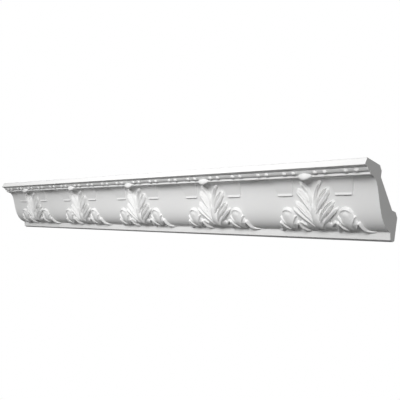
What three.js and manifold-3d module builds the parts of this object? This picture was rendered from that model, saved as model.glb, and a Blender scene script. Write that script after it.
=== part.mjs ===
// Ceiling cornice with an acanthus frieze, one cast length, in millimetres.
// X runs along the length, Y points into the wall, Z points up to the ceiling.
// The origin is the middle of the flat strip that bears on the wall.
import * as THREE from "three";
import { mergeVertices } from "three/addons/utils/BufferGeometryUtils.js";
import Module from "manifold-3d";

// Length and repeat of the pattern
const length = 1000;
const motifPitch = 200;

// Section, as distances out from the wall and down from the ceiling
const projection = 93;
const drop = 88;
const ceilingFaceDepth = 32;
const fasciaHeight = 10;
const fasciaLean = 2;
const soffitDepth = 6;
const soffitFall = 1;
const rodRadius = 2;
const rodInset = 2.4;
const rodFall = 2;
const rodStart = THREE.MathUtils.degToRad(200);
const grooveDepth = 1.3;
const fasciaToFillet = 13.8;
const filletHeight = 3.6;
const filletLean = 2;
const coveSetback = 3;
const coveHandle = 24;
const coveArch = 3.5;
const bulgeHandle = 36;
const bulgeFall = 3.3;
const bulgeToWall = 13.3;
const lowerFilletHeight = 9.8;
const lowerFilletLean = 3.4;
const undersideFall = 1.4;
const wallStripHeight = 31.5;
const wallEdgeRise = 2.5;
const wallEdgeChamfer = 4.2;
const footChamfer = 6;
const ceilingFootHeight = 8;
const wallFootDepth = 9.4;
const curveSegments = 12;
const rodSegments = 2;

// Beads, in pairs along the rod
const beadRadius = 2.5;
const beadLength = 6.4;
const beadSpacing = 16;
const beadPairInner = 26;
const beadPairOuter = 74;

// Central fan of leaflets
const fanHeight = 82;
const fanHalfWidth = 36;
const fanRelief = 7;
const fanFootHalfWidth = 13;
const fanStations = 6;

// Boss over the fan, on the fillet
const bossHalfWidth = 12;
const bossOut = 6;
const bossHeight = 5.2;
const bossInset = 0.5;
const bossLift = 1;

// Side leaves with an overturned hood
const sideLeafOffset = 49;
const sideLeafHeight = 42;
const sideLeafHalfWidth = 12;
const sideLeafRelief = 6.5;
const sideLeafFootHalfWidth = 8;
const tailLength = 19;
const tailRise = 14;
const tailWidth = 4;

// Tabs over the side leaves, with a rolled lip
const tabLowerHalfWidth = 13.5;
const tabUpperHalfWidth = 22;
const tabBottom = 59.5;
const tabRelief = 1;
const lipWidth = 3.6;
const lipRelief = 3;

// How far each ornament is rooted in the body
const rootDepth = 2;

const wasm = await Module();
wasm.setup();

// Corners and curve of the section, as [out from the wall, down from the ceiling]
const fasciaFoot = [projection, fasciaHeight];
const rodCentre = [
  projection - soffitDepth - rodInset,
  fasciaHeight + soffitFall + rodFall,
];
const filletTop = [projection - fasciaToFillet, rodCentre[1] + rodRadius];
const filletFoot = [filletTop[0] - filletLean, filletTop[1] + filletHeight];
const cymaTop = [filletFoot[0] - coveSetback, filletFoot[1]];
const undersideBack = [wallEdgeChamfer, drop];
const lowerFilletFoot = [bulgeToWall - lowerFilletLean, drop - undersideFall];
const cymaFoot = [bulgeToWall, lowerFilletFoot[1] - lowerFilletHeight];
const wallStripFoot = drop - wallEdgeRise;
const wallStripTop = wallStripFoot - wallStripHeight;
const originDown = (wallStripFoot + wallStripTop) / 2;

// Section coordinates to the part's own Y and Z
const sectionPoint = ([out, down]) => new THREE.Vector2(-out, originDown - down);

// The show curve: a cove above that turns into a bulge below
const cyma = new THREE.CubicBezierCurve(
  sectionPoint(cymaFoot),
  sectionPoint([cymaFoot[0] + bulgeHandle, cymaFoot[1] - bulgeFall]),
  sectionPoint([cymaTop[0] - coveHandle, cymaTop[1] - coveArch]),
  sectionPoint(cymaTop),
);
cyma.arcLengthDivisions = 400;
const cymaLength = cyma.getLength();

// Direction that the mould is drawn off in, square to the chord of the show curve
const chord = sectionPoint(cymaTop).sub(sectionPoint(cymaFoot)).normalize();
const drawDirection = new THREE.Vector2(-chord.y, chord.x);

// Point over the show curve: x along the length, rise up the curve, relief out of it
function onCurve(x, rise, relief) {
  const share = THREE.MathUtils.clamp(rise / cymaLength, 0, 1);
  const point = cyma.getPointAt(share);
  const along = cyma.getTangentAt(share);
  point.addScaledVector(along, rise - share * cymaLength);
  const lean = new THREE.Vector2(-along.y, along.x).add(drawDirection).normalize();
  point.addScaledVector(lean, relief);
  return new THREE.Vector3(x, point.x, point.y);
}

// Geometry to a solid that can be joined
function solid(geometry) {
  const plain = geometry.clone();
  plain.deleteAttribute("normal");
  plain.deleteAttribute("uv");
  const merged = mergeVertices(plain, 1e-4);
  return new wasm.Manifold(
    new wasm.Mesh({
      numProp: 3,
      vertProperties: new Float32Array(merged.attributes.position.array),
      triVerts: new Uint32Array(merged.index.array),
    }),
  );
}

// Closed tube of rings with the same number of corners, each ring listed the same way round
function rings(sections) {
  const corners = sections[0].length;
  const positions = sections.flat().flatMap((p) => [p.x, p.y, p.z]);
  const index = [];
  const at = (ring, corner) => ring * corners + (corner % corners);
  for (let ring = 0; ring + 1 < sections.length; ring++) {
    for (let corner = 0; corner < corners; corner++) {
      const [a, b] = [at(ring, corner), at(ring, corner + 1)];
      const [c, d] = [at(ring + 1, corner + 1), at(ring + 1, corner)];
      index.push(a, b, c, a, c, d);
    }
  }
  const last = sections.length - 1;
  for (let corner = 1; corner + 1 < corners; corner++) {
    index.push(at(0, 0), at(0, corner + 1), at(0, corner));
    index.push(at(last, 0), at(last, corner), at(last, corner + 1));
  }
  const geometry = new THREE.BufferGeometry();
  geometry.setAttribute("position", new THREE.Float32BufferAttribute(positions, 3));
  geometry.setIndex(index);
  return geometry;
}

// Solid facing out, whichever way its rings run
function outward(geometry) {
  const made = solid(geometry);
  if (made.volume() > 0) return made;
  const turned = geometry.clone();
  const index = Array.from(turned.index.array);
  for (let i = 0; i < index.length; i += 3) {
    [index[i + 1], index[i + 2]] = [index[i + 2], index[i + 1]];
  }
  turned.setIndex(index);
  return solid(turned);
}

// Raised ridge along a path of [x, rise, relief, width]
function ridge(path) {
  const sections = path.map(([x, rise, relief, width], i) => {
    const before = path[Math.max(i - 1, 0)];
    const after = path[Math.min(i + 1, path.length - 1)];
    const along = new THREE.Vector2(after[0] - before[0], after[1] - before[1]).normalize();
    const corner = (side, height) =>
      onCurve(x + along.y * side * width, rise - along.x * side * width, height);
    return [
      corner(-0.5, -rootDepth),
      corner(-0.42, relief * 0.45),
      corner(0, relief),
      corner(0.42, relief * 0.45),
      corner(0.5, -rootDepth),
    ];
  });
  return outward(rings(sections));
}

// Raised sheet between neighbouring lines, each a list of [x, rise, relief]
function sheet(lines) {
  const count = lines[0].length;
  const columns = lines.length;
  const points = [];
  for (const line of lines) points.push(...line.map(([x, rise, relief]) => onCurve(x, rise, relief)));
  for (const line of lines) points.push(...line.map(([x, rise]) => onCurve(x, rise, -rootDepth)));
  const top = (column, row) => column * count + row;
  const low = (column, row) => (columns + column) * count + row;
  const index = [];
  const quad = (a, b, c, d) => index.push(a, b, c, a, c, d);
  for (let c = 0; c + 1 < columns; c++) {
    for (let r = 0; r + 1 < count; r++) {
      quad(top(c, r), top(c + 1, r), top(c + 1, r + 1), top(c, r + 1));
      quad(low(c, r), low(c, r + 1), low(c + 1, r + 1), low(c + 1, r));
    }
    quad(low(c, 0), low(c + 1, 0), top(c + 1, 0), top(c, 0));
    quad(top(c, count - 1), top(c + 1, count - 1), low(c + 1, count - 1), low(c, count - 1));
  }
  for (let r = 0; r + 1 < count; r++) {
    quad(low(0, r), top(0, r), top(0, r + 1), low(0, r + 1));
    quad(top(columns - 1, r), low(columns - 1, r), low(columns - 1, r + 1), top(columns - 1, r + 1));
  }
  const geometry = new THREE.BufferGeometry();
  const positions = points.flatMap((p) => [p.x, p.y, p.z]);
  geometry.setAttribute("position", new THREE.Float32BufferAttribute(positions, 3));
  geometry.setIndex(index);
  return outward(geometry);
}

// Plain run of the section, cut square at both ends
function plainRun() {
  const shape = new THREE.Shape();
  const go = (point) => shape.lineTo(...sectionPoint(point).toArray());
  const fasciaTop = projection - fasciaLean;
  const ceilingFootBack = fasciaTop - ceilingFaceDepth - footChamfer;
  const wallFootTop = wallStripTop - footChamfer;
  const start = sectionPoint([fasciaTop, 0]);
  shape.moveTo(start.x, start.y);
  go([ceilingFootBack + footChamfer, 0]);
  go([ceilingFootBack, footChamfer]);
  go([ceilingFootBack, footChamfer + ceilingFootHeight]);
  go([footChamfer + wallFootDepth, wallFootTop]);
  go([footChamfer, wallFootTop]);
  go([0, wallStripTop]);
  go([0, wallStripFoot]);
  go(undersideBack);
  go(lowerFilletFoot);
  for (let i = 0; i <= curveSegments; i++) {
    const point = cyma.getPointAt(i / curveSegments);
    shape.lineTo(point.x, point.y);
  }
  go(filletFoot);
  go(filletTop);
  go([filletTop[0] + grooveDepth, filletTop[1] - grooveDepth]);
  for (let i = 0; i <= rodSegments; i++) {
    const turn = rodStart - (Math.PI * i) / rodSegments;
    go([
      rodCentre[0] + rodRadius * Math.sin(turn),
      rodCentre[1] - rodRadius * Math.cos(turn),
    ]);
  }
  go([projection - soffitDepth, fasciaHeight + soffitFall]);
  go(fasciaFoot);
  const run = new THREE.ExtrudeGeometry(shape, { depth: length, bevelEnabled: false });
  run.translate(0, 0, -length / 2);
  const sectionToPart = new THREE.Matrix4().makeBasis(
    new THREE.Vector3(0, 1, 0),
    new THREE.Vector3(0, 0, 1),
    new THREE.Vector3(1, 0, 0),
  );
  run.applyMatrix4(sectionToPart);
  return solid(run);
}

// Egg shape with its own half sizes along X, Y and Z
function egg(centre, [halfX, halfY, halfZ], around, rows) {
  const geometry = new THREE.SphereGeometry(1, around, rows);
  geometry.rotateZ(Math.PI / 2);
  geometry.scale(halfX, halfY, halfZ);
  geometry.translate(centre.x, centre.y, centre.z);
  return solid(geometry);
}

// Value at a share of the way, by straight steps between [share, value] stops
function follow(stops, share) {
  const next = Math.max(1, stops.findIndex(([at]) => at >= share));
  const [[a, low], [b, high]] = [stops[next - 1], stops[next]];
  return low + ((high - low) * (share - a)) / (b - a);
}

// Half the lines of a leaf, carried over to its other half and moved to its middle
function bothHalves(half, middle) {
  const placed = (side) => (line) => line.map(([x, rise, relief]) => [middle + side * x, rise, relief]);
  return [...half.slice(1).reverse().map(placed(-1)), ...half.map(placed(1))];
}

// Ridges and hollows of the fan by turns: [tip x share, tip rise share, bend, relief share]
const fanLines = [
  [0, 0.79, 1, 0.75],
  [0.46, 1, 6, 0.95],
  [0.35, 0.79, 5, 0.6],
  [0.67, 0.83, 4.2, 1],
  [0.44, 0.6, 3.4, 0.6],
  [0.88, 0.63, 2.6, 1],
  [0.62, 0.43, 2.3, 0.55],
  [1, 0.5, 2.1, 0.85],
  [0.64, 0.24, 1.5, 0.4],
  [0.79, 0.24, 1, 0.7],
];
const fanSwell = [[0, 0.15], [0.3, 0.85], [0.6, 1], [1, 0.55]];

// Central fan of leaflets about a middle at x
function fan(middle) {
  const half = fanLines.map(([tipX, tipRise, bend, relief], rank) => {
    const footX = (fanFootHalfWidth * rank) / (fanLines.length - 1);
    const line = [];
    for (let i = 0; i < fanStations; i++) {
      const share = Math.sqrt(i / (fanStations - 1));
      const across = footX + (tipX * fanHalfWidth - footX) * share ** bend;
      const height = relief * fanRelief * follow(fanSwell, share);
      line.push([across, tipRise * fanHeight * share, height]);
    }
    return line;
  });
  return sheet(bothHalves(half, middle));
}

// Hood, then lobes and hollows of a side leaf: [tip x share, tip rise share, relief share, hooded]
const sideLines = [
  [0, 1, 1, true],
  [0.84, 0.88, 0.9, true],
  [0.76, 0.62, 0.4, false],
  [1.1, 0.76, 0.85, false],
  [0.8, 0.4, 0.35, false],
  [1.4, 0.5, 0.8, false],
];
const hoodSwell = [[0, 0.15], [0.35, 0.85], [0.68, 1], [0.84, 0.5], [0.93, 1.3], [1, 0.85]];
const lobeSwell = [[0, 0.15], [0.5, 0.9], [1, 0.7]];

// Side leaf about a middle at x, with its tail toward +X or -X
function sideLeaf(middle, side) {
  const half = sideLines.map(([tipX, tipRise, relief, hooded], rank) => {
    const footX = (sideLeafFootHalfWidth * rank) / (sideLines.length - 1);
    return hoodSwell.map(([share]) => {
      const swell = follow(hooded ? hoodSwell : lobeSwell, share);
      const across = footX + (tipX * sideLeafHalfWidth - footX) * share ** 1.3;
      return [across, tipRise * sideLeafHeight * share, relief * sideLeafRelief * swell];
    });
  });
  const tail = [0, 0.4, 1].map((share) => [
    middle + side * (sideLeafHalfWidth + tailLength * share),
    tailWidth / 2 + tailRise * (1 - share) ** 3,
    sideLeafRelief * (0.7 - 0.5 * share),
    tailWidth * (1 - 0.4 * share),
  ]);
  return sheet(bothHalves(half, middle)).add(ridge(tail));
}

// Tab with flaring sides and a rolled lip along its lower edge
function tab(middle) {
  const lines = [-1, 1].map((across) =>
    [0, 0.25, 0.5, 0.75, 1].map((share) => {
      const halfWidth = tabLowerHalfWidth + (tabUpperHalfWidth - tabLowerHalfWidth) * share;
      return [middle + across * halfWidth, tabBottom + (cymaLength - tabBottom) * share, tabRelief];
    }),
  );
  const lip = [-1, 1].map((across) => [
    middle + across * tabLowerHalfWidth,
    tabBottom + lipWidth / 2,
    lipRelief,
    lipWidth,
  ]);
  return sheet(lines).add(ridge(lip));
}

// Whole cornice: the plain run with every motif joined to it
function cornice() {
  let whole = plainRun();
  const motifs = Math.floor(length / motifPitch);
  const bossPoint = sectionPoint([filletFoot[0] - bossInset, filletFoot[1] - bossLift]);
  const rodPoint = sectionPoint(rodCentre);
  for (let i = 0; i < motifs; i++) {
    const middle = (i - (motifs - 1) / 2) * motifPitch;
    const bossCentre = new THREE.Vector3(middle, bossPoint.x, bossPoint.y);
    whole = whole.add(fan(middle));
    whole = whole.add(egg(bossCentre, [bossHalfWidth, bossOut, bossHeight], 8, 4));
    for (const side of [-1, 1]) {
      whole = whole.add(sideLeaf(middle + side * sideLeafOffset, side));
      whole = whole.add(tab(middle + side * sideLeafOffset));
      for (const pair of [beadPairInner, beadPairOuter]) {
        for (const half of [-0.5, 0.5]) {
          const x = middle + side * pair + half * beadSpacing;
          const centre = new THREE.Vector3(x, rodPoint.x, rodPoint.y);
          whole = whole.add(egg(centre, [beadLength / 2, beadRadius, beadRadius], 5, 3));
        }
      }
    }
  }
  const mesh = whole.getMesh();
  const geometry = new THREE.BufferGeometry();
  const positions = [];
  for (let i = 0; i < mesh.numVert; i++) {
    positions.push(...mesh.vertProperties.subarray(i * mesh.numProp, i * mesh.numProp + 3));
  }
  geometry.setAttribute("position", new THREE.Float32BufferAttribute(positions, 3));
  geometry.setIndex(Array.from(mesh.triVerts));
  return geometry;
}

const matWhite = new THREE.MeshStandardMaterial({
  color: 0xf1f1ef,
  roughness: 0.85,
  metalness: 0,
  flatShading: true,
});

const moulding = new THREE.Mesh(cornice(), matWhite);
moulding.name = "cornice_moulding";

const group = new THREE.Group();
group.add(moulding);

export default group;
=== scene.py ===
"""Ceiling cornice with an acanthus frieze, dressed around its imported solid."""

import math

import bpy
import numpy as np
from bpy.props import FloatProperty, FloatVectorProperty, PointerProperty
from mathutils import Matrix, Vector


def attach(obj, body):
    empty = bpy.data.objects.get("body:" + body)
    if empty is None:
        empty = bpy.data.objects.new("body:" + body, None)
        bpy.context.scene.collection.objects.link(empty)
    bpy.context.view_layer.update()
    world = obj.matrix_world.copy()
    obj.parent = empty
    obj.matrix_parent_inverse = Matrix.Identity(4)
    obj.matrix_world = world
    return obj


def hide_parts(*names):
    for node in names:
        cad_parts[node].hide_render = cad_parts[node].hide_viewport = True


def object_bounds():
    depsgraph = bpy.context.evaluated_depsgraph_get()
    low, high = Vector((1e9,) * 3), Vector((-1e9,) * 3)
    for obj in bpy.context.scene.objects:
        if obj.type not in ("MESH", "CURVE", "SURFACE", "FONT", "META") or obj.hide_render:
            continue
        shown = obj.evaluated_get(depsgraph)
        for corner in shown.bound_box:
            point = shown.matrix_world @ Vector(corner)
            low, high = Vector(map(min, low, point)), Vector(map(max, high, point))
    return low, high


bl_info = {
    "name": "Acanthus Cornice",
    "version": (1, 0, 0),
    "blender": (4, 5, 0),
    "location": "View3D > Sidebar > Cornice",
    "description": "Models a cast ceiling cornice with acanthus motifs",
    "category": "Add Mesh",
}

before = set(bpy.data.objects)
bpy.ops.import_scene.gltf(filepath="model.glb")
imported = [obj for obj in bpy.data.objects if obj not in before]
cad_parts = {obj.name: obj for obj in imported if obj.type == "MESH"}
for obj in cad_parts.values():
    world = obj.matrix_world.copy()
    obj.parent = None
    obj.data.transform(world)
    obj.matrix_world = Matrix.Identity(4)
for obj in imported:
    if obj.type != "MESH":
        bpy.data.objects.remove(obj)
CAD_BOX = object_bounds()
CAD_NODE = "cornice_moulding"
BODY = "root"
MM = 0.001

LOW, HIGH = (Vector(corner) for corner in CAD_BOX)
LENGTH = HIGH.x - LOW.x
PROJECTION = -LOW.y
CEILING = HIGH.z

# Relief of the strokes as they are drawn below, in millimetres
FAN_RELIEF = 7
SIDE_RELIEF = 6.5


class CorniceSizes(bpy.types.PropertyGroup):
    """Sizes of the section and its ornament that a user would change"""

    motif_pitch: FloatProperty(
        name="Motif pitch", description="Distance from one acanthus motif to the next",
        default=200 * MM, unit="LENGTH",
    )
    fan_relief: FloatProperty(
        name="Fan relief", description="How far the fan stands off the face",
        default=FAN_RELIEF * MM, unit="LENGTH",
    )
    side_offset: FloatProperty(
        name="Side leaf offset", description="Distance of a side leaf from its motif's middle",
        default=49 * MM, unit="LENGTH",
    )
    side_relief: FloatProperty(
        name="Side leaf relief", description="How far a side leaf stands off the face",
        default=SIDE_RELIEF * MM, unit="LENGTH",
    )
    tab_relief: FloatProperty(
        name="Tab relief", description="How far the plain tabs stand off the cove",
        default=0.6 * MM, unit="LENGTH",
    )
    bead_radius: FloatProperty(
        name="Bead radius", description="Half thickness of the paired beads",
        default=2.9 * MM, unit="LENGTH",
    )
    grid_step: FloatProperty(
        name="Carving step", description="Spacing of the points that carry the carving",
        default=0.5 * MM, unit="LENGTH",
    )


class CorniceFinish(bpy.types.PropertyGroup):
    """Colours and grain of the primed foam"""

    skin_colour: FloatVectorProperty(
        name="Primed skin", description="Colour of the primed face",
        default=(0.86, 0.86, 0.855), subtype="COLOR", size=3, min=0, max=1,
    )
    # Grey that paints the shade the sawn ends lie in; the foam itself is white
    shaded_cut_colour: FloatVectorProperty(
        name="Cut foam", description="Colour of the sawn ends",
        default=(0.46, 0.46, 0.455), subtype="COLOR", size=3, min=0, max=1,
    )
    grain_scale: FloatProperty(
        name="Grain scale", description="Grains of the primer in each metre",
        default=900.0, min=1,
    )


def sizes():
    return bpy.context.scene.cornice_sizes


def finish_values():
    return bpy.context.scene.cornice_finish


# Section, in millimetres out from the wall and down from the ceiling. The rod is a shallow
# round, tilted from the horizontal so that its face looks out and down.
OUT_MAX = PROJECTION / MM
DOWN_MAX = (CEILING - LOW.z) / MM
FASCIA_LEAN = 2
FASCIA_HEIGHT = 10
CEILING_FACE_DEPTH = 32
FOOT_CHAMFER = 6
CEILING_FOOT_HEIGHT = 8
WALL_FOOT_DEPTH = 9.4
WALL_STRIP_HEIGHT = 31.5
WALL_EDGE_RISE = 2.5
WALL_EDGE_CHAMFER = 4.2
SOFFIT_DEPTH = 6
SOFFIT_FALL = 1
ROD_HALF_WIDTH = 3.3
ROD_SWELL = 0.9
ROD_TILT = math.radians(38)
ROD_INSET = 3.5
ROD_FALL = 1.8
ROD_STEPS = 14
ROD_TO_FILLET = 1.0
GROOVE = 0.3
FASCIA_TO_FILLET = 13.8
FILLET_HEIGHT = 4.4
FILLET_LEAN = 0.8
COVE_SETBACK = 4.2
COVE_HANDLE = 24
COVE_ARCH = 3.5
BULGE_HANDLE = 37
BULGE_FALL = 2.2
BULGE_TO_WALL = 13.3
LOWER_FILLET_HEIGHT = 9.8
LOWER_FILLET_LEAN = 3.4
UNDERSIDE_FALL = 1.4
CURVE_STEPS = 64
FINE_STEPS = 2001

# Radii that the corners of the section are rounded to
FILLET_FOOT_ROUND = 0.4
EDGE_ROUND = 0.5
STRIP_ROUND = 0.6
CHAMFER_ROUND = 0.8
HOLLOW_ROUND = 1
UNDERSIDE_ROUND = 1.2

ROD = (OUT_MAX - SOFFIT_DEPTH - ROD_INSET, FASCIA_HEIGHT + SOFFIT_FALL + ROD_FALL)
FILLET_TOP = (OUT_MAX - FASCIA_TO_FILLET, ROD[1] + ROD_TO_FILLET)
FILLET_FOOT = (FILLET_TOP[0] - FILLET_LEAN, FILLET_TOP[1] + FILLET_HEIGHT)
CYMA_TOP = (FILLET_FOOT[0] - COVE_SETBACK, FILLET_FOOT[1])
LOWER_FILLET_FOOT = (BULGE_TO_WALL - LOWER_FILLET_LEAN, DOWN_MAX - UNDERSIDE_FALL)
CYMA_FOOT = (BULGE_TO_WALL, LOWER_FILLET_FOOT[1] - LOWER_FILLET_HEIGHT)
WALL_FOOT = DOWN_MAX - WALL_EDGE_RISE
WALL_TOP = WALL_FOOT - WALL_STRIP_HEIGHT


def bezier(points, share):
    """Cubic curve through [out, down] points at each share of the way"""
    a, b, c, d = (np.array(p, float) for p in points)
    t = share[:, None]
    return (1 - t) ** 3 * a + 3 * (1 - t) ** 2 * t * b + 3 * (1 - t) * t * t * c + t**3 * d


class ShowCurve:
    """Cove that turns into a bulge, measured along itself from its foot"""

    def __init__(self):
        handles = (
            CYMA_FOOT,
            (CYMA_FOOT[0] + BULGE_HANDLE, CYMA_FOOT[1] - BULGE_FALL),
            (CYMA_TOP[0] - COVE_HANDLE, CYMA_TOP[1] - COVE_ARCH),
            CYMA_TOP,
        )
        fine = bezier(handles, np.linspace(0, 1, FINE_STEPS))
        steps = np.hypot(*np.diff(fine, axis=0).T)
        self.rise = np.concatenate([[0], np.cumsum(steps)])
        self.length = self.rise[-1]
        self.points = fine
        self.along = np.gradient(fine, self.rise, axis=0)
        chord = np.array(CYMA_TOP) - np.array(CYMA_FOOT)
        chord /= np.linalg.norm(chord)
        self.draw = np.array([-chord[1], chord[0]])

    def at(self, rise):
        """Point and direction at each rise, straight on past both ends"""
        held = np.clip(rise, 0, self.length)
        point = np.stack([np.interp(held, self.rise, self.points[:, i]) for i in (0, 1)], -1)
        along = np.stack([np.interp(held, self.rise, self.along[:, i]) for i in (0, 1)], -1)
        return point + along * (rise - held)[..., None], along

    def place(self, x, rise, relief):
        """Points in metres: x along the length, rise up the curve, relief out of it, all in mm"""
        point, along = self.at(rise)
        lean = np.stack([-along[..., 1], along[..., 0]], -1) + self.draw
        lean /= np.linalg.norm(lean, axis=-1, keepdims=True)
        point = point + lean * relief[..., None]
        return np.stack([x * MM, -point[..., 0] * MM, CEILING - point[..., 1] * MM], -1)


CURVE = ShowCurve()


def rounded(corners, steps=5):
    """Outline with each [out, down, radius] corner turned into an arc between its neighbours,
    the list being taken as a ring"""
    outline = []
    for i, (out, down, radius) in enumerate(corners):
        here = np.array([out, down], float)
        if not radius:
            outline.append(here)
            continue
        before = np.array(corners[i - 1][:2], float)
        after = np.array(corners[(i + 1) % len(corners)][:2], float)
        to_before = (before - here) / np.linalg.norm(before - here)
        to_after = (after - here) / np.linalg.norm(after - here)
        half = math.acos(np.clip(np.dot(to_before, to_after), -1, 1)) / 2
        reach = radius / math.tan(half)
        start, end = here + to_before * reach, here + to_after * reach
        for step in range(steps + 1):
            t = step / steps
            outline.append((1 - t) ** 2 * start + 2 * t * (1 - t) * here + t * t * end)
    return outline


def section_outline():
    """Closed outline of the section, from the top of the fascia round the back and up the face"""
    fascia_top = OUT_MAX - FASCIA_LEAN
    foot_back = fascia_top - CEILING_FACE_DEPTH - FOOT_CHAMFER
    wall_foot_top = WALL_TOP - FOOT_CHAMFER
    back = [
        (fascia_top, 0, EDGE_ROUND),
        (foot_back + FOOT_CHAMFER, 0, STRIP_ROUND),
        (foot_back, FOOT_CHAMFER, CHAMFER_ROUND),
        (foot_back, FOOT_CHAMFER + CEILING_FOOT_HEIGHT, HOLLOW_ROUND),
        (FOOT_CHAMFER + WALL_FOOT_DEPTH, wall_foot_top, HOLLOW_ROUND),
        (FOOT_CHAMFER, wall_foot_top, CHAMFER_ROUND),
        (0, WALL_TOP, STRIP_ROUND),
        (0, WALL_FOOT, STRIP_ROUND),
        (WALL_EDGE_CHAMFER, DOWN_MAX, UNDERSIDE_ROUND),
        (*LOWER_FILLET_FOOT, EDGE_ROUND),
        (*CYMA_FOOT, 0),
    ]
    outline = rounded(back)[:-1]
    outline += list(CURVE.at(np.linspace(0, CURVE.length, CURVE_STEPS))[0])
    outline += rounded([
        (*CYMA_TOP, 0),
        (*FILLET_FOOT, FILLET_FOOT_ROUND),
        (*FILLET_TOP, EDGE_ROUND),
        (FILLET_TOP[0] + GROOVE, FILLET_TOP[1] - GROOVE, 0),
    ])[1:]
    up_rod = np.array([math.cos(ROD_TILT), -math.sin(ROD_TILT)])
    off_rod = np.array([math.sin(ROD_TILT), math.cos(ROD_TILT)])
    for i in range(ROD_STEPS + 1):
        turn = math.pi * i / ROD_STEPS
        outline.append(np.array(ROD) - ROD_HALF_WIDTH * math.cos(turn) * up_rod
                       + ROD_SWELL * math.sin(turn) * off_rod)
    outline += rounded([
        (*ROD, 0),
        (OUT_MAX - SOFFIT_DEPTH, FASCIA_HEIGHT + SOFFIT_FALL, 0),
        (OUT_MAX, FASCIA_HEIGHT, EDGE_ROUND),
        (fascia_top, 0, 0),
    ])[1:-1]
    return np.array(outline)


# Selection and placing

def select_only(*objects):
    """Selects just these objects, the first one active"""
    if bpy.context.object and bpy.context.object.mode != "OBJECT":
        bpy.ops.object.mode_set(mode="OBJECT")
    bpy.ops.object.select_all(action="DESELECT")
    for one in objects:
        one.select_set(True)
    if objects:
        bpy.context.view_layer.objects.active = objects[0]


def edit(obj, kind="FACE"):
    """Enters edit mode with one kind of element pickable: VERT, EDGE or FACE"""
    select_only(obj)
    bpy.context.tool_settings.mesh_select_mode = [kind == k for k in ("VERT", "EDGE", "FACE")]
    bpy.ops.object.mode_set(mode="EDIT")


def settle(obj, name, dress, angle):
    """Names a finished piece, drops its place into its mesh and dresses it; edges
    sharper than the angle in degrees stay crisp"""
    if not obj.data.polygons:
        raise RuntimeError(f"{name} came out empty")
    obj.name = name
    obj.data.name = name
    select_only(obj)
    bpy.ops.object.transform_apply(location=True, rotation=True, scale=True)
    bpy.ops.object.shade_smooth_by_angle(angle=math.radians(angle))
    obj.data.materials.clear()
    obj.data.materials.append(dress)
    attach(obj, BODY)
    return obj


def set_points(obj, points):
    """Moves the points of a mesh to these places"""
    obj.data.vertices.foreach_set("co", np.asarray(points, np.float32).ravel())
    obj.data.update()


def get_points(obj):
    """The points of a mesh, one row each"""
    points = np.empty(len(obj.data.vertices) * 3, np.float32)
    obj.data.vertices.foreach_get("co", points)
    return points.reshape(-1, 3).astype(float)


# Shader maths

class Socket:
    """A shader socket that takes part in Python arithmetic by adding Math nodes"""

    def __init__(self, tree, socket):
        self.tree, self.socket = tree, socket

    def maths(self, operation, *values):
        node = self.tree.add("ShaderNodeMath", {"operation": operation}, *values)
        return Socket(self.tree, node.outputs[0])

    def __add__(self, other):
        return self.maths("ADD", self, other)

    def __radd__(self, other):
        return self.maths("ADD", other, self)

    def __rmul__(self, other):
        return self.maths("MULTIPLY", other, self)


class Shader:
    """A material's node tree, with one method that adds any node"""

    def __init__(self, name):
        self.material = bpy.data.materials.new(name)
        self.material.use_nodes = True
        self.nodes = self.material.node_tree.nodes
        self.links = self.material.node_tree.links
        self.body = next(n for n in self.nodes if n.type == "BSDF_PRINCIPLED")

    def add(self, kind, settings=None, *values, **named):
        """Adds a node with these settings and puts the values in its sockets, by order or name"""
        node = self.nodes.new(kind)
        for key, value in (settings or {}).items():
            setattr(node, key, value)
        for key, value in [*enumerate(values), *named.items()]:
            self.put(node.inputs[key], value)
        return node

    def put(self, target, value):
        """Links another socket to the target, or sets a plain value on it"""
        if isinstance(value, Socket):
            self.links.new(value.socket, target)
        else:
            target.default_value = value

    def value(self, node, output=0):
        return Socket(self, node.outputs[output])

    def place(self):
        return self.value(self.add("ShaderNodeTexCoord"), "Object")

    def noise(self, where, scale, detail=2.0, roughness=0.5):
        return self.value(self.add("ShaderNodeTexNoise", None, Vector=where, Scale=scale,
                                   Detail=detail, Roughness=roughness))

    def mix(self, share, first, second):
        """First colour at share 0, second colour at share 1"""
        node = self.add("ShaderNodeMix", {"data_type": "RGBA"})
        self.put(node.inputs[0], share)
        self.put(node.inputs[6], first)
        self.put(node.inputs[7], second)
        return self.value(node, 2)


# Primed skin: scales in features to the metre, shares of each feature, depth of the grain
CLOUD_SCALE = 14.0
CLOUD_DETAIL = 3.0
FLECK_SCALE = 260.0
SKIN_DULL = 0.955
CLOUD_TONE = 0.65
FLECK_TONE = 0.35
SKIN_ROUGHNESS = 0.62
FLECK_ROUGHNESS = 0.16
GRAIN_ROUGHNESS = 0.08
SKIN_SHEEN = 0.3
GRAIN_RELIEF = 0.7
FLECK_RELIEF = 0.3
SKIN_BUMP = 0.12
SKIN_BUMP_DEPTH = 0.08 * MM

# Sawn foam of the ends, laid over a grey that paints the shade they lie in
CELL_SCALE = 1400.0
STROKE_SCALE = 120.0
STROKE_BEND = 3.0
STROKE_DETAIL = 2.0
CUT_CLOUD_SCALE = 60.0
CUT_DULL = 0.9
CELL_TONE = 0.5
CUT_CLOUD_TONE = 0.3
STROKE_TONE = 0.2
CUT_ROUGHNESS = 0.82
CELL_ROUGHNESS = 0.1
CUT_SHEEN = 0.2
CELL_RELIEF = 0.8
STROKE_RELIEF = 0.2
CUT_BUMP = 0.3
CUT_BUMP_DEPTH = 0.15 * MM


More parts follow.
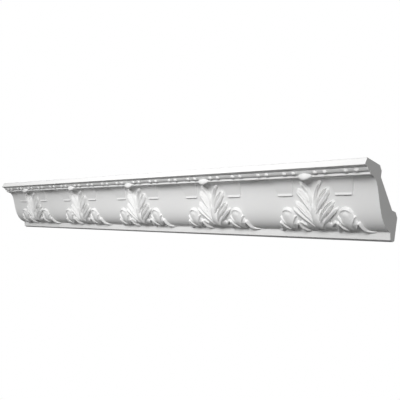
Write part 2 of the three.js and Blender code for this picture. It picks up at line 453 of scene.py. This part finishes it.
def primed_foam():
    """Matt white primer over a cast foam skin: faint clouding, fine grain and small flecks"""
    values = finish_values()
    shader = Shader("primed_foam")
    where = shader.place()
    cloud = shader.noise(where, CLOUD_SCALE, CLOUD_DETAIL)
    grain = shader.noise(where, values.grain_scale)
    fleck = shader.noise(where, FLECK_SCALE)
    light = (*values.skin_colour, 1)
    dull = tuple(SKIN_DULL * c for c in values.skin_colour) + (1,)
    tone = shader.mix(CLOUD_TONE * cloud + FLECK_TONE * fleck, light, dull)
    shader.put(shader.body.inputs["Base Color"], tone)
    roughness = SKIN_ROUGHNESS + FLECK_ROUGHNESS * fleck + GRAIN_ROUGHNESS * grain
    shader.put(shader.body.inputs["Roughness"], roughness)
    shader.body.inputs["Specular IOR Level"].default_value = SKIN_SHEEN
    bump = shader.add("ShaderNodeBump", None, Strength=SKIN_BUMP, Distance=SKIN_BUMP_DEPTH,
                      Height=GRAIN_RELIEF * grain + FLECK_RELIEF * fleck)
    shader.put(shader.body.inputs["Normal"], shader.value(bump))
    return shader.material


def cut_foam():
    """Sawn foam of the square ends: fine open cells and faint saw strokes, over a grey that paints
    the shade the ends lie in
    """
    values = finish_values()
    shader = Shader("cut_foam")
    where = shader.place()
    cells = shader.value(shader.add("ShaderNodeTexVoronoi", None, Vector=where, Scale=CELL_SCALE))
    wave = shader.add("ShaderNodeTexWave", {"bands_direction": "Z"}, Vector=where,
                      Scale=STROKE_SCALE, Distortion=STROKE_BEND, Detail=STROKE_DETAIL)
    strokes = shader.value(wave, "Fac")
    cloud = shader.noise(where, CUT_CLOUD_SCALE, CLOUD_DETAIL)
    # The cut colour is painted shade: a grey standing in for the shade on the white foam of the ends
    light = (*values.shaded_cut_colour, 1)
    dull = tuple(CUT_DULL * c for c in values.shaded_cut_colour) + (1,)
    share = CELL_TONE * cells + CUT_CLOUD_TONE * cloud + STROKE_TONE * strokes
    shader.put(shader.body.inputs["Base Color"], shader.mix(share, light, dull))
    shader.put(shader.body.inputs["Roughness"], CUT_ROUGHNESS + CELL_ROUGHNESS * cells)
    shader.body.inputs["Specular IOR Level"].default_value = CUT_SHEEN
    bump = shader.add("ShaderNodeBump", None, Strength=CUT_BUMP, Distance=CUT_BUMP_DEPTH,
                      Height=CELL_RELIEF * cells + STROKE_RELIEF * strokes)
    shader.put(shader.body.inputs["Normal"], shader.value(bump))
    return shader.material


def material(name, maker):
    """The material of this name, made the first time it is asked for"""
    return bpy.data.materials.get(name) or maker()


# Carving as heights over the show curve, in millimetres

def smooth_step(low, high, value):
    """Eased rise from 0 at low to 1 at high; high may be the lower one"""
    t = np.clip((value - low) / (high - low), 0, 1)
    return t * t * (3 - 2 * t)


def smooth_top(first, second, blend):
    """The higher of two surfaces, with the crease between them eased over a blend"""
    gap = np.clip(0.5 + 0.5 * (first - second) / blend, 0, 1)
    return second + (first - second) * gap + blend * gap * (1 - gap) * 0.5


def nearest(path, x, rise):
    """Share along a path and signed distance from it, positive to its right hand"""
    lengths = np.hypot(*np.diff(path, axis=0).T)
    whole = lengths.sum()
    best = np.full(x.shape, np.inf)
    share = np.zeros(x.shape)
    side = np.ones(x.shape)
    done = 0
    for (ax, ay), (bx, by), length in zip(path[:-1], path[1:], lengths):
        ux, uy = (bx - ax) / length, (by - ay) / length
        t = np.clip((x - ax) * ux + (rise - ay) * uy, 0, length)
        dx, dy = x - ax - t * ux, rise - ay - t * uy
        distance = np.hypot(dx, dy)
        closer = distance < best
        best = np.where(closer, distance, best)
        share = np.where(closer, (done + t) / whole, share)
        side = np.where(closer, np.where(dx * uy - dy * ux >= 0, 1, -1), side)
        done += length
    return share, best * side


# Depth that carving sinks to, depth below which its faces are cut away, and how steeply
# it falls off beside its edge
BURIED = -3.0
HIDDEN = BURIED / 2
EDGE_FALL = 3.0

# Roundness across a stroke: 2 is a half circle, more is flatter on top
ROUND = 2.2

# Shares along a leaflet between which its section turns into that of its tip
TIP_BEGINS = 0.5
TIP_FULL = 0.95


def eased(stops, t):
    """Value at t between [t, value] stops, level at every stop"""
    value = np.full(np.shape(t), float(stops[0][1]))
    for (low, first), (high, second) in zip(stops[:-1], stops[1:]):
        value = value + (second - first) * smooth_step(low, high, t)
    return value


def round_section(t, power):
    """Dome of height 1 across a stroke, from its middle at 0 to its edges at -1 and 1"""
    return np.clip(1 - np.abs(t) ** power, 0, 1) ** (1 / power)


def ridge(x, rise, path, widths, heights, sections=None, power=ROUND):
    """Raised strip along a path; widths and heights are [share, value] stops.
    Sections, one for the middle and one for the tip, shape it across."""
    share, distance = nearest(np.array(path, float), x, rise)
    half = np.interp(share, *zip(*widths)) / 2
    top = np.interp(share, *zip(*heights))
    t = distance / half
    if sections:
        tip = smooth_step(TIP_BEGINS, TIP_FULL, share)
        dome = eased(sections[0], t) * (1 - tip) + eased(sections[1], t) * tip
    else:
        dome = round_section(t, power)
    outside = -EDGE_FALL * np.clip(np.abs(distance) - half, 0, None)
    return np.maximum(top * dome + outside, BURIED)


def bent(foot, bend, tip, steps=24):
    """Path that leaves its foot towards the bend and ends at the tip"""
    foot, bend, tip = np.array(foot), np.array(bend), np.array(tip)
    t = np.linspace(0, 1, steps)[:, None]
    return (1 - t) ** 2 * foot + 2 * t * (1 - t) * bend + t * t * tip


# Sections across a leaflet as [place, height] stops: its upper edge first, its crest about 0,
# its lower edge at 1
RIMMED = ((-0.8, 0), (-0.25, 1), (0.0, 0.98), (0.36, 0.6), (0.66, 0.78), (1, 0))
SPLIT = ((-0.74, 0), (-0.58, 0.84), (-0.38, 0.3), (-0.1, 1), (0.14, 0.7), (0.38, 0.97),
         (0.9, 0.76), (1, 0))
SPLIT_TIP = ((-0.76, 0), (-0.58, 0.74), (-0.38, 0.2), (-0.1, 1), (0.14, 0.66), (0.36, 0.9),
             (0.84, 0.52), (1, 0))
BLADE = ((-0.42, 0), (-0.12, 1), (0.1, 1), (0.86, 0.74), (1, 0))

# Leaflets of half the fan, from the top one down: foot, bend and tip of the crest, widths,
# crest heights, sections
LEAFLETS = (
    ((3.2, 40), (-0.6, 61), (15.4, 79.4),
     ((0, 5), (0.5, 6.4), (1, 6.8)),
     ((0, 6.4), (0.55, 5.4), (0.95, 5.2), (1, 3.4)), (RIMMED, RIMMED)),
    ((3.5, 38), (8.0, 52), (26.2, 69.6),
     ((0, 6), (0.35, 12), (0.65, 14.6), (0.88, 12.4), (1, 5)),
     ((0, 6.4), (0.4, 6.2), (0.88, 5.0), (0.96, 3.6), (1, 0.6)), (SPLIT, SPLIT_TIP)),
    ((4.0, 22), (10.0, 35), (32.2, 51.6),
     ((0, 6), (0.35, 10), (0.65, 12), (0.88, 10.4), (1, 4.4)),
     ((0, 5.8), (0.4, 6.2), (0.88, 4.8), (0.96, 3.6), (1, 0.6)), (SPLIT, SPLIT_TIP)),
    ((6.0, 13), (12.0, 26), (37.0, 42.6),
     ((0, 5), (0.4, 9), (0.85, 8.4), (1, 4.2)),
     ((0, 5.2), (0.4, 5.4), (0.88, 4.4), (0.96, 3.2), (1, 0.6)), (BLADE, BLADE)),
)

# Other strokes of the fan: path out from the middle and up the face, widths, crest heights
FAN_BODY = (
    ((0, -2), (0, 16), (0, 46)),
    ((0, 50), (0.35, 46), (1, 14)),
    ((0, 4.0), (0.5, 4.2), (1, 2.4)),
)
STEM = (
    ((0, -2), (0, 28), (0, 60)),
    ((0, 20), (0.5, 14), (0.8, 9), (1, 5)),
    ((0, 6.4), (0.5, 6.8), (0.74, 6.4), (0.9, 1.6), (1, 0.2)),
)
HOOK = (
    ((20, 12), (23, 16.5), (26.4, 19.6), (28.4, 20.8)),
    ((0, 4), (0.5, 5), (1, 5)),
    ((0, 3.0), (0.5, 4.0), (1, 4.0)),
)
FAN_BODY_ROUND = 3
HOOK_ROUND = 1.8
STEM_BLEND = 0.5
LEAFLET_BLEND = 0.3

# Foot of the carving: the rise below which it starts to sink, where it is gone and how deep,
# and the rise at which the fan has swollen to its full relief
FOOT_EDGE = 0.8
FOOT_GONE = -1.2
FOOT_SINK = 6
FOOT_SWELL = 32.0
FOOT_SWELL_POWER = 2.2


def cut_foot(height, rise):
    """Sinks the carving where it would hang below the foot of the curve"""
    return height - FOOT_SINK * smooth_step(FOOT_EDGE, FOOT_GONE, rise)


def fan_height(x, rise):
    """Height of the central fan at x from its middle and rise up the face"""
    scale = sizes().fan_relief / (FAN_RELIEF * MM)
    across = np.abs(x)
    height = ridge(across, rise, *FAN_BODY, power=FAN_BODY_ROUND)
    height = smooth_top(height, ridge(across, rise, *STEM), STEM_BLEND)
    for foot, bend, tip, widths, crests, sections in LEAFLETS:
        leaflet = ridge(across, rise, bent(foot, bend, tip), widths, crests, sections)
        height = smooth_top(height, leaflet, LEAFLET_BLEND)
    hook = ridge(across, rise, *HOOK, power=HOOK_ROUND)
    height = smooth_top(height, hook, LEAFLET_BLEND)
    base = 1 - (1 - np.clip(rise / FOOT_SWELL, 0, 1)) ** FOOT_SWELL_POWER
    return cut_foot(np.where(height > 0, height * base, height) * scale, rise)


# Bowl of a side leaf and the broad leaf behind it: path up the middle, widths, crest heights
BOWL = (
    ((0, -2), (0, 9), (0, 31.2)),
    ((0, 9), (0.38, 12), (0.85, 15.6), (1, 14)),
    ((0, 0.8), (0.35, 3.6), (0.7, 4.9), (1, 5.0)),
)
BACKING = (
    ((0, 6), (0, 20), (0, 31)),
    ((0, 14), (0.5, 31), (1, 24)),
    ((0, 1.6), (0.5, 4.4), (1, 4.2)),
)
BOWL_ROUND = 2.4
BACKING_ROUND = 2
STRIP_DOME = 1.8
SIDE_BLEND = 0.25

# Hood that turns over the bowl, as part of an oval about its middle, and its own widths and
# crest heights
HOOD_MIDDLE = 34.4
HOOD_HALF_WIDTH = 8.4
HOOD_HEIGHT = 6.2
HOOD_TURN = math.pi * 0.44
HOOD_STEPS = 14
HOOD_WIDTHS = ((0, 5.4), (0.6, 4.8), (1, 3.0))
HOOD_CRESTS = ((0, 4.9), (0.6, 4.6), (1, 3.6))

# Strips of a side leaf that both halves have, below the hood
UPPER_STRIP = (
    ((5.4, 15), (8.4, 22.5), (12.4, 29.8)),
    ((0, 2.6), (0.6, 3.4), (1, 3.4)),
    ((0, 3.6), (0.6, 5.4), (1, 4.8)),
)
LOWER_STRIP = (
    ((4.0, 3), (7.4, 8.5), (11.4, 14.5), (15.0, 20.4)),
    ((0, 2.4), (0.6, 3.4), (1, 3.6)),
    ((0, 2.2), (0.5, 4.4), (1, 5.0)),
)

# Tails that run down and out, a longer one away from the fan and a shorter one towards it
TAIL_WIDTHS = ((0, 3.8), (0.5, 3.4), (1, 2.4))
OUTER_TAIL = (
    ((16.8, 20.5), (18.6, 12), (20.4, 6), (23.5, 2.4), (27.5, 1.0), (32, 0.5)),
    TAIL_WIDTHS,
    ((0, 5), (0.4, 4.4), (0.7, 2.6), (1, 1.2)),
)
INNER_TAIL = (
    ((-16.6, 20.5), (-18.4, 12), (-20.4, 6), (-23.5, 2.0), (-29, 0.8)),
    TAIL_WIDTHS,
    ((0, 5), (0.4, 4.6), (0.7, 3.0), (1, 1.2)),
)


def side_height(x, rise):
    """Height of a side leaf at x from its middle, outer side positive"""
    scale = sizes().side_relief / (SIDE_RELIEF * MM)
    across = np.abs(x)
    height = ridge(across, rise, *BOWL, power=BOWL_ROUND)
    backing = ridge(across, rise, *BACKING, power=BACKING_ROUND)
    height = smooth_top(height, backing, SIDE_BLEND)
    turn = np.linspace(0, HOOD_TURN, HOOD_STEPS)
    path = np.stack([HOOD_HALF_WIDTH * np.sin(turn), HOOD_MIDDLE + HOOD_HEIGHT * np.cos(turn)], -1)
    hood = (path, HOOD_WIDTHS, HOOD_CRESTS)
    both_halves = [(across, stroke) for stroke in (hood, UPPER_STRIP, LOWER_STRIP)]
    tails = [(x, stroke) for stroke in (OUTER_TAIL, INNER_TAIL)]
    for place, stroke in both_halves + tails:
        strip = ridge(place, rise, *stroke, power=STRIP_DOME)
        height = smooth_top(height, strip, SIDE_BLEND)
    return cut_foot(height * scale, rise)


# Plain tab: half widths below and above, lower edge, rounding of its corners, how far its
# middle bows out, how its edge rises and how it sinks away at the top of the curve
TAB_HALF_WIDTHS = (13.5, 22.0)
TAB_BOTTOM = 59.5
TAB_CORNER = 1.8
TAB_BOW = 1.3
TAB_EDGE = (-0.3, 1.2)
TAB_TOP_FADE = (-1.0, 0.6)
TAB_TOP_SINK = 2.0

# Lip along its lower edge: width, relief, how fast it flares out and how its edge rises
LIP_WIDTH = 4.6
LIP_RELIEF = 3.1
LIP_FLARE = 1.6
LIP_EDGE = (-0.1, 0.7)


def tab_height(x, rise):
    """Height of a plain tab with an outward lip along its lower edge"""
    relief = sizes().tab_relief / MM
    share = (rise - TAB_BOTTOM) / (CURVE.length - TAB_BOTTOM)
    half = TAB_HALF_WIDTHS[0] + (TAB_HALF_WIDTHS[1] - TAB_HALF_WIDTHS[0]) * share
    side = half - np.abs(x)
    up = rise - TAB_BOTTOM
    corner = np.hypot(np.clip(TAB_CORNER - side, 0, None), np.clip(TAB_CORNER - up, 0, None))
    inside = np.where(corner > 0, TAB_CORNER - corner, np.minimum(side, up))
    plain = (relief + TAB_BOW * 4 * share * (1 - share)) * smooth_step(*TAB_EDGE, inside)
    flare = (LIP_RELIEF - relief) * np.clip(1 - up / LIP_WIDTH, 0, 1) ** LIP_FLARE
    flare = flare * smooth_step(*LIP_EDGE, inside)
    fade_begins, fade_ends = (CURVE.length + past for past in TAB_TOP_FADE)
    fade = 1 - smooth_step(fade_begins, fade_ends, rise)
    outside = EDGE_FALL * np.clip(inside, None, 0)
    return (plain + flare) * fade + outside - TAB_TOP_SINK * (1 - fade)


# Carved patches: their spans along the length and up the face, the depth behind the foot of
# the curve that they are closed at, and the sharpest bend that is shaded smooth
FAN_SPANS = ((-42, 42), (-3, 88))
SIDE_SPANS = ((-26, 34), (-3, 48))
TAB_SPANS = ((-25, 25), (TAB_BOTTOM - 2, CURVE.length + 1))
BACK_PLANE = 7.5
CARVED_ANGLE = 60
RUN_ANGLE = 22

# How squarely a face of the run looks along the length when it is one of the sawn ends
END_FACING = 0.9


def carved_patch(name, x_span, rise_span, heights):
    """Grid laid on the show curve and raised by a height function, closed behind the face"""
    step = sizes().grid_step / MM
    (x_low, x_high), (rise_low, rise_high) = x_span, rise_span
    select_only()
    bpy.ops.mesh.primitive_grid_add(x_subdivisions=round((x_high - x_low) / step),
                                    y_subdivisions=round((rise_high - rise_low) / step), size=2)
    patch = bpy.context.object
    flat = get_points(patch)
    x = x_low + (flat[:, 0] + 1) / 2 * (x_high - x_low)
    rise = rise_low + (flat[:, 1] + 1) / 2 * (rise_high - rise_low)
    relief = heights(x, rise)
    set_points(patch, CURVE.place(x, rise, np.maximum(relief, HIDDEN)))
    buried = relief <= HIDDEN
    corners = np.empty(len(patch.data.loops), np.int32)
    patch.data.loops.foreach_get("vertex_index", corners)
    hidden = buried[corners.reshape(-1, 4)].all(axis=1)
    patch.data.polygons.foreach_set("select", hidden)
    edit(patch, "FACE")
    if hidden.any():
        bpy.ops.mesh.delete(type="FACE")
    bpy.ops.object.mode_set(mode="OBJECT")
    edit(patch, "EDGE")
    bpy.ops.mesh.select_all(action="DESELECT")
    bpy.ops.mesh.select_non_manifold(extend=False)
    bpy.ops.mesh.extrude_region_move(TRANSFORM_OT_translate={"value": (0, 0, 0)})
    bpy.ops.object.mode_set(mode="OBJECT")
    points = get_points(patch)
    rim = np.array([v.select for v in patch.data.vertices])
    draw = -CURVE.draw
    plane = np.dot(np.array([-CYMA_FOOT[0] * MM, CEILING - CYMA_FOOT[1] * MM]), draw)
    depth = points[:, 1:] @ draw - plane + BACK_PLANE * MM
    points[rim, 1:] -= depth[rim, None] * draw
    set_points(patch, points)
    edit(patch, "EDGE")
    bpy.ops.mesh.fill(use_beauty=False)
    bpy.ops.mesh.select_all(action="SELECT")
    bpy.ops.mesh.normals_make_consistent(inside=False)
    bpy.ops.object.mode_set(mode="OBJECT")
    return settle(patch, name, material("primed_foam", primed_foam), CARVED_ANGLE)


def copy_to(piece, name, offset, mirrored=False):
    """Copy with its own mesh, moved along the length and turned left for right if asked"""
    mesh = piece.data.copy()
    mesh.name = name
    copy = bpy.data.objects.new(name, mesh)
    bpy.context.collection.objects.link(copy)
    points = get_points(copy)
    if mirrored:
        points[:, 0] *= -1
        mesh.flip_normals()
    points[:, 0] += offset
    set_points(copy, points)
    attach(copy, BODY)
    return copy


def repeat(piece, places):
    """Sets a copy at each [name, offset, mirrored] place and removes the first one"""
    for place in places:
        copy_to(piece, *place)
    bpy.data.objects.remove(piece)


# Part of a pitch by which the last motif may run short and still be counted
COUNT_SLACK = 0.001


def motif_middles():
    """Places along the length of the middles of as many whole motifs as fit"""
    pitch = sizes().motif_pitch
    count = int(LENGTH / pitch + COUNT_SLACK)
    if not count:
        raise RuntimeError("The cornice is too short for one motif")
    return [(i - (count - 1) / 2) * pitch for i in range(count)]


class CORNICE_OT_run(bpy.types.Operator):
    """Extrude the plain run of the cornice from its section and cut it square"""

    bl_idname = "cornice.run"
    bl_label = "Plain run"

    def execute(self, context):
        outline = section_outline()
        select_only()
        bpy.ops.mesh.primitive_circle_add(vertices=len(outline), radius=PROJECTION, fill_type="NGON")
        run = context.object
        set_points(run, [(LOW.x, -out * MM, CEILING - down * MM) for out, down in outline])
        edit(run)
        bpy.ops.mesh.select_all(action="SELECT")
        bpy.ops.mesh.extrude_region_move(TRANSFORM_OT_translate={"value": (LENGTH, 0, 0)})
        bpy.ops.mesh.select_all(action="SELECT")
        bpy.ops.mesh.normals_make_consistent(inside=False)
        bpy.ops.object.mode_set(mode="OBJECT")
        settle(run, "cornice_run", material("primed_foam", primed_foam), RUN_ANGLE)
        run.data.materials.append(material("cut_foam", cut_foam))
        # Faces that look along the length are the sawn ends and take the grey that paints their
        # shade
        for polygon in run.data.polygons:
            is_end = abs(polygon.normal.x) > END_FACING
            polygon.material_index = int(is_end)
        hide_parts(CAD_NODE)
        return {"FINISHED"}


class CORNICE_OT_fans(bpy.types.Operator):
    """Carve the central fan of leaflets once and repeat it along the length"""

    bl_idname = "cornice.fans"
    bl_label = "Acanthus fans"

    def execute(self, context):
        fan = carved_patch("fan", *FAN_SPANS, fan_height)
        repeat(fan, [(f"fan_{n}", middle) for n, middle in enumerate(motif_middles(), 1)])
        return {"FINISHED"}


def beside_motifs(name):
    """Places one to the right and, turned over, one to the left of every motif's middle"""
    offset = sizes().side_offset
    places = []
    for number, middle in enumerate(motif_middles(), 1):
        places.append((f"{name}_right_{number}", middle + offset))
        places.append((f"{name}_left_{number}", middle - offset, True))
    return places


class CORNICE_OT_side_leaves(bpy.types.Operator):
    """Carve a hooded side leaf once and set one each side of every fan"""

    bl_idname = "cornice.side_leaves"
    bl_label = "Side leaves"

    def execute(self, context):
        leaf = carved_patch("side_leaf", *SIDE_SPANS, side_height)
        repeat(leaf, beside_motifs("side_leaf"))
        return {"FINISHED"}


class CORNICE_OT_tabs(bpy.types.Operator):
    """Carve a plain tab with its lip once and hang one above every side leaf"""

    bl_idname = "cornice.tabs"
    bl_label = "Plain tabs"

    def execute(self, context):
        tab = carved_patch("tab", *TAB_SPANS, tab_height)
        repeat(tab, beside_motifs("tab"))
        return {"FINISHED"}


# Curled tip: half sizes along, out and up, its middle out from the wall and down from the
# ceiling, and how its lower half is stretched, narrowed and leant out
BOSS_HALF = (12.0, 4.8, 5.3)
BOSS_CENTRE = (79.2, 16.6)
BOSS_DROP = 1.3
BOSS_TAPER = 0.08
BOSS_TILT = 0.16

# Its outline tapers to a point at each end, closed from the tip share of the half length on,
# and a shallow flute runs round each half
POINT_POWER = 1.9
POINT_FULLNESS = 0.72
POINT_TIP = 0.9999
FLUTE_DEPTH = 0.05
FLUTE_PLACE = 0.34
FLUTE_WIDTH = 0.1

# Keeps the division by a tip's own radius finite
TINY = 1e-9


class CORNICE_OT_bosses(bpy.types.Operator):
    """Shape the curled leaf tip over a fan once and repeat it along the upper fillet"""

    bl_idname = "cornice.bosses"
    bl_label = "Curled tips"

    def execute(self, context):
        out, down = BOSS_CENTRE
        select_only()
        bpy.ops.mesh.primitive_uv_sphere_add(segments=40, ring_count=36, radius=1,
                                             rotation=(0, math.radians(90), 0))
        boss = context.object
        bpy.ops.object.transform_apply(location=True, rotation=True, scale=True)
        round_points = get_points(boss)
        along = round_points[:, 0]
        circle = np.sqrt(np.clip(1 - along**2, TINY, None))
        lemon = (1 - np.abs(along) ** POINT_POWER) ** POINT_FULLNESS / circle
        lemon[np.abs(along) > POINT_TIP] = 0
        across = round_points[:, 1:] * lemon[:, None]
        flute = 1 - FLUTE_DEPTH * np.exp(-((np.abs(along) - FLUTE_PLACE) / FLUTE_WIDTH) ** 2)
        points = np.stack([along * BOSS_HALF[0], across[:, 0] * BOSS_HALF[1] * flute,
                           across[:, 1] * BOSS_HALF[2] * flute], -1) * MM
        low = points[:, 2] < 0
        points[low, 0] *= 1 + BOSS_TAPER * points[low, 2] / (BOSS_HALF[2] * MM)
        points[low, 2] *= BOSS_DROP
        points[:, 1] += BOSS_TILT * points[:, 2]
        points += (0, -out * MM, CEILING - down * MM)
        set_points(boss, points)
        settle(boss, "curled_tip", material("primed_foam", primed_foam), CARVED_ANGLE)
        repeat(boss, [(f"curled_tip_{n}", m) for n, m in enumerate(motif_middles(), 1)])
        return {"FINISHED"}


# Beads: length of one, spacing in a pair, how far the string is moved along and sits below
# the middle of the rod, and the distances of the pairs from a motif's middle
BEAD_LENGTH = 7.0
BEAD_SPACING = 16.0
BEAD_SHIFT = 1.4
BEAD_FALL = 0.5
BEAD_PAIRS = (26.0, 74.0)


class CORNICE_OT_beads(bpy.types.Operator):
    """Shape one bead, string copies in pairs along the rod and join them"""

    bl_idname = "cornice.beads"
    bl_label = "Paired beads"

    def execute(self, context):
        radius = sizes().bead_radius
        select_only()
        bpy.ops.mesh.primitive_uv_sphere_add(
            segments=20, ring_count=14, radius=radius, rotation=(0, math.radians(90), 0),
            location=(0, -ROD[0] * MM, CEILING - (ROD[1] + BEAD_FALL) * MM))
        bead = context.object
        bead.scale = (1, 1, BEAD_LENGTH * MM / 2 / radius)
        settle(bead, "bead", material("primed_foam", primed_foam), CARVED_ANGLE)
        shifts = [side * pair + half * BEAD_SPACING + BEAD_SHIFT
                  for side in (-1, 1) for pair in BEAD_PAIRS for half in (-0.5, 0.5)]
        beads = [copy_to(bead, "bead_string", middle + shift * MM)
                 for middle in motif_middles() for shift in shifts]
        bpy.data.objects.remove(bead)
        select_only(*beads)
        bpy.ops.object.join()
        context.object.name = "bead_string"
        context.object.data.name = "bead_string"
        return {"FINISHED"}


# Floor: size and height in metres, tone and roughness
FLOOR_SIZE = 1.8
FLOOR_HEIGHT = -2.4
FLOOR_TONE = 0.75
FLOOR_ROUGHNESS = 0.9

# Light from around: as its direction rises from the first height to the second, its strength
# grows from the third value to the fourth. The backdrop that the camera sees is plain white.
AMBIENT = (-0.36, 0.0, 0.0, 0.69)
BACKDROP = 1.0

# Lights that point to the origin: name, place, size, spread in degrees and power
LIGHTS = (
    ("key_light", (0.95, -2.2, 0.4), 1.0, 45, 3.7),
)

# Camera: place in metres, turn in degrees, focal length and sensor width in millimetres, and
# the nearest distance that it sees, in metres
CAMERA_PLACE = (0.89876, -0.71120, -0.16479)
CAMERA_TURN = (101.408, -10.889, 45.672)
CAMERA_LENS = 54.16
CAMERA_SENSOR = 36
CAMERA_NEAREST = 0.01


class CORNICE_OT_stage(bpy.types.Operator):
    """Set the pale floor, the soft studio light and the camera"""

    bl_idname = "cornice.stage"
    bl_label = "Stage"

    def execute(self, context):
        scene = context.scene
        scene.view_settings.view_transform = "Standard"
        select_only()
        bpy.ops.mesh.primitive_plane_add(size=FLOOR_SIZE, location=(0, 0, FLOOR_HEIGHT))
        floor = context.object
        floor.name = "floor"
        shader = Shader("pale_floor")
        shader.body.inputs["Base Color"].default_value = (FLOOR_TONE, FLOOR_TONE, FLOOR_TONE, 1)
        shader.body.inputs["Roughness"].default_value = FLOOR_ROUGHNESS
        floor.data.materials.append(shader.material)

        world = bpy.data.worlds.new("studio")
        scene.world = world
        world.use_nodes = True
        nodes, links = world.node_tree.nodes, world.node_tree.links
        background = nodes["Background"]
        background.inputs["Color"].default_value = (1, 1, 1, 1)
        seen = nodes.new("ShaderNodeLightPath")
        direction = nodes.new("ShaderNodeTexCoord")
        split = nodes.new("ShaderNodeSeparateXYZ")
        links.new(direction.outputs["Generated"], split.inputs[0])
        ambient = nodes.new("ShaderNodeMapRange")
        links.new(split.outputs["Z"], ambient.inputs["Value"])
        for key, value in zip(("From Min", "From Max", "To Min", "To Max"), AMBIENT):
            ambient.inputs[key].default_value = value
        strength = nodes.new("ShaderNodeMix")
        links.new(seen.outputs["Is Camera Ray"], strength.inputs[0])
        links.new(ambient.outputs["Result"], strength.inputs[2])
        strength.inputs[3].default_value = BACKDROP
        links.new(strength.outputs[0], background.inputs["Strength"])

        for name, place, size, spread, power in LIGHTS:
            bpy.ops.object.light_add(type="AREA", location=place)
            light = context.object
            light.name = name
            light.data.shape = "DISK"
            light.data.size = size
            light.data.spread = math.radians(spread)
            light.data.energy = power
            light.rotation_euler = (-Vector(place)).to_track_quat("-Z", "Y").to_euler()

        bpy.ops.object.camera_add(location=CAMERA_PLACE,
                                  rotation=[math.radians(a) for a in CAMERA_TURN])
        camera = context.object
        camera.data.sensor_width = CAMERA_SENSOR
        camera.data.lens = CAMERA_LENS
        camera.data.clip_start = CAMERA_NEAREST
        scene.camera = camera
        return {"FINISHED"}


class CORNICE_PT_panel(bpy.types.Panel):
    """Buttons that model the cornice, and its sizes"""

    bl_idname = "CORNICE_PT_panel"
    bl_label = "Acanthus cornice"
    bl_space_type = "VIEW_3D"
    bl_region_type = "UI"
    bl_category = "Cornice"

    def draw(self, context):
        column = self.layout.column()
        for step in STEPS:
            column.operator(step.bl_idname)
        for group in (context.scene.cornice_sizes, context.scene.cornice_finish):
            for name in group.bl_rna.properties.keys():
                if name not in ("rna_type", "name"):
                    column.prop(group, name)


STEPS = (CORNICE_OT_run, CORNICE_OT_fans, CORNICE_OT_side_leaves, CORNICE_OT_tabs,
         CORNICE_OT_bosses, CORNICE_OT_beads, CORNICE_OT_stage)
CLASSES = (CorniceSizes, CorniceFinish, *STEPS, CORNICE_PT_panel)


def register():
    for one in CLASSES:
        bpy.utils.register_class(one)
    bpy.types.Scene.cornice_sizes = PointerProperty(type=CorniceSizes)
    bpy.types.Scene.cornice_finish = PointerProperty(type=CorniceFinish)


def unregister():
    del bpy.types.Scene.cornice_finish
    del bpy.types.Scene.cornice_sizes
    for one in reversed(CLASSES):
        bpy.utils.unregister_class(one)


def main():
    register()
    for step in STEPS:
        group, name = step.bl_idname.split(".")
        getattr(getattr(bpy.ops, group), name)()


if __name__ == "__main__":
    main()
